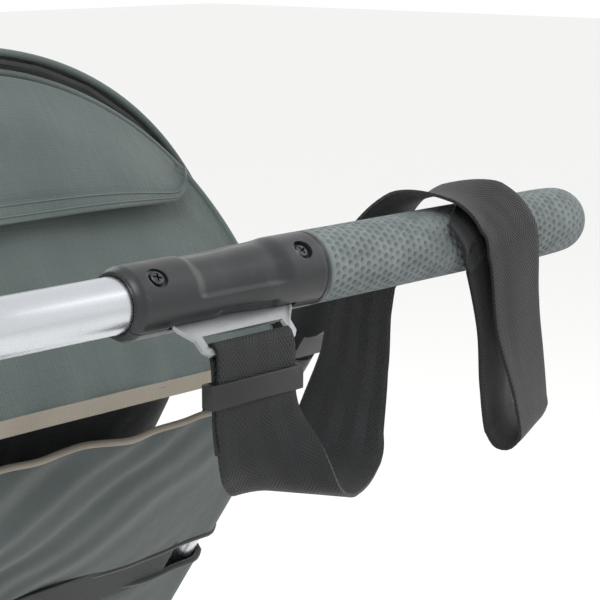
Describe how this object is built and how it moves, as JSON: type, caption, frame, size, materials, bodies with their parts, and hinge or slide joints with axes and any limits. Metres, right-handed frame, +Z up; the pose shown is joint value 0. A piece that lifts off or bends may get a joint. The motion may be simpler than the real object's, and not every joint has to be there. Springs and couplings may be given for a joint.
{
  "type": "jogging stroller",
  "caption": "Three-wheeled jogging stroller with a swinging U push bar, clamped wrist-strap coupling, dimpled grip, grey-green hood and spoked wheels.",
  "frame": {"origin": "centre of the overall box at the floor", "axes": "+Z up, +Y the way it travels, +X to the right of the person pushing"},
  "size_m": [0.656, 1.172, 1.0883],
  "materials": {
    "anodised_tube": "clear anodised, satin",
    "wheel_alloy": "polished alloy",
    "bracket_plate": "stamped sheet, matt",
    "steel_hardware": "dark zinc plated",
    "charcoal_plastic": "moulded, satin",
    "black_plastic": "moulded, fine grain",
    "red_plastic": "moulded, satin",
    "grip_rubber": "dimpled, matt",
    "tyre_rubber": "tread rubber",
    "webbing": "woven polyester webbing",
    "hood_cloth": "coated polyester, grey green",
    "seat_cloth": "coated polyester, grey green",
    "pad_cloth": "woven polyester, dark"
  },
  "bodies": {
    "chassis": {"fold_joint_left": "black_plastic", "fold_joint_right": "black_plastic", "fork_tube_left": "anodised_tube", "fork_tube_right": "anodised_tube", "rear_leg_left": "anodised_tube", "rear_leg_right": "anodised_tube", "side_stay_left": "anodised_tube", "side_stay_right": "anodised_tube", "front_brace": "anodised_tube", "footrest": "charcoal_plastic", "rear_axle": "anodised_tube", "seat_rail": "anodised_tube", "seat_cushion": "pad_cloth", "harness_buckle": "black_plastic", "crotch_strap": "webbing", "basket": "pad_cloth", "front_skewer": "steel_hardware"},
    "upper_frame": {"upper_tube_left": "anodised_tube", "upper_tube_right": "anodised_tube", "fold_ear_left": "black_plastic", "fold_ear_right": "black_plastic", "upper_cross_tube": "anodised_tube", "pivot_housing_left": "black_plastic", "pivot_housing_right": "black_plastic", "hood_mount_left": "black_plastic", "hood_mount_right": "black_plastic", "hood_rear_bow": "black_plastic", "hood_rear_panel": "hood_cloth", "hood_flap": "hood_cloth", "seat_back_sling": "seat_cloth"},
    "push_bar": {"handlebar_tube": "anodised_tube", "grip_left": "grip_rubber", "grip_right": "grip_rubber", "coupling_rear_shell": "charcoal_plastic", "coupling_front_shell": "charcoal_plastic", "coupling_screw_1": "steel_hardware", "coupling_screw_2": "steel_hardware", "strap_bracket": "bracket_plate", "wrist_strap": "webbing", "strap_slide": "black_plastic", "handle_hub_left": "black_plastic", "handle_hub_right": "black_plastic"},
    "pivot_button_left": {"pivot_button_left": "charcoal_plastic"},
    "pivot_button_right": {"pivot_button_right": "charcoal_plastic"},
    "hood_middle": {"hood_mid_panel": "hood_cloth"},
    "hood_front": {"hood_front_panel": "hood_cloth", "hood_front_bow": "black_plastic"},
    "seat_back": {"seat_back_pad": "pad_cloth", "harness_straps": "webbing"},
    "buckle_button": {"buckle_button": "red_plastic"},
    "fold_lock_left": {"fold_lock_left": "red_plastic"},
    "fold_lock_right": {"fold_lock_right": "red_plastic"},
    "brake_pedal": {"brake_pedal": "red_plastic"},
    "release_lever": {"quick_release_lever": "steel_hardware"},
    "front_wheel": {"front_tyre": "tyre_rubber", "front_wheel": "wheel_alloy"},
    "rear_wheel_left": {"rear_tyre_left": "tyre_rubber", "rear_wheel_left": "wheel_alloy"},
    "rear_wheel_right": {"rear_tyre_right": "tyre_rubber", "rear_wheel_right": "wheel_alloy"}
  },
  "joints": [
    {"name": "frame_fold", "type": "hinge", "parent": "chassis", "child": "upper_frame", "pos_m": [0, -0.0612, 0.505], "axis": [-1, 0, 0], "range_deg": [0, 97]},
    {"name": "handle_pivot", "type": "hinge", "parent": "upper_frame", "child": "push_bar", "pos_m": [0, -0.35085, 0.92961], "axis": [1, 0, 0], "range_deg": [-45, 50]},
    {"name": "pivot_button_left_push", "type": "slide", "parent": "upper_frame", "child": "pivot_button_left", "axis": [1, 0, 0], "range_m": [0, 0.004], "stiffness_N_per_m": 900, "springref_m": -0.001},
    {"name": "pivot_button_right_push", "type": "slide", "parent": "upper_frame", "child": "pivot_button_right", "axis": [-1, 0, 0], "range_m": [0, 0.004], "stiffness_N_per_m": 900, "springref_m": -0.001},
    {"name": "hood_fold", "type": "hinge", "parent": "upper_frame", "child": "hood_front", "pos_m": [0, -0.29609, 0.89192], "axis": [1, 0, 0], "range_deg": [0, 60]},
    {"name": "hood_middle_fold", "type": "hinge", "parent": "upper_frame", "child": "hood_middle", "pos_m": [0, -0.29609, 0.89192], "axis": [1, 0, 0], "range_deg": [0, 60]},
    {"name": "seat_recline", "type": "hinge", "parent": "upper_frame", "child": "seat_back", "pos_m": [0, -0.04356, 0.54124], "axis": [1, 0, 0], "range_deg": [-12, 0]},
    {"name": "buckle_release", "type": "slide", "parent": "chassis", "child": "buckle_button", "axis": [0, 0.2672, -0.9636], "range_m": [0, 0.003], "stiffness_N_per_m": 700, "springref_m": -0.001},
    {"name": "fold_lock_left_turn", "type": "hinge", "parent": "chassis", "child": "fold_lock_left", "pos_m": [-0.26, -0.0612, 0.505], "axis": [1, 0, 0], "range_deg": [0, 30]},
    {"name": "fold_lock_right_turn", "type": "hinge", "parent": "chassis", "child": "fold_lock_right", "pos_m": [0.26, -0.0612, 0.505], "axis": [1, 0, 0], "range_deg": [0, 30]},
    {"name": "brake_press", "type": "hinge", "parent": "chassis", "child": "brake_pedal", "pos_m": [0.09, -0.2562, 0.19905], "axis": [1, 0, 0], "range_deg": [0, 22]},
    {"name": "release_lever_swing", "type": "hinge", "parent": "chassis", "child": "release_lever", "pos_m": [-0.0759, 0.4288, 0.15725], "axis": [0, -1, 0], "range_deg": [0, 90]},
    {"name": "front_wheel_spin", "type": "hinge", "parent": "chassis", "child": "front_wheel", "pos_m": [0, 0.4288, 0.15725], "axis": [1, 0, 0], "continuous": true},
    {"name": "rear_wheel_left_spin", "type": "hinge", "parent": "chassis", "child": "rear_wheel_left", "pos_m": [-0.29, -0.2562, 0.19905], "axis": [1, 0, 0], "continuous": true},
    {"name": "rear_wheel_right_spin", "type": "hinge", "parent": "chassis", "child": "rear_wheel_right", "pos_m": [0.29, -0.2562, 0.19905], "axis": [1, 0, 0], "continuous": true}
  ],
  "couplings": [
    {"joint": "hood_middle_fold", "follows": "hood_fold", "ratio": 0.5}
  ]
}
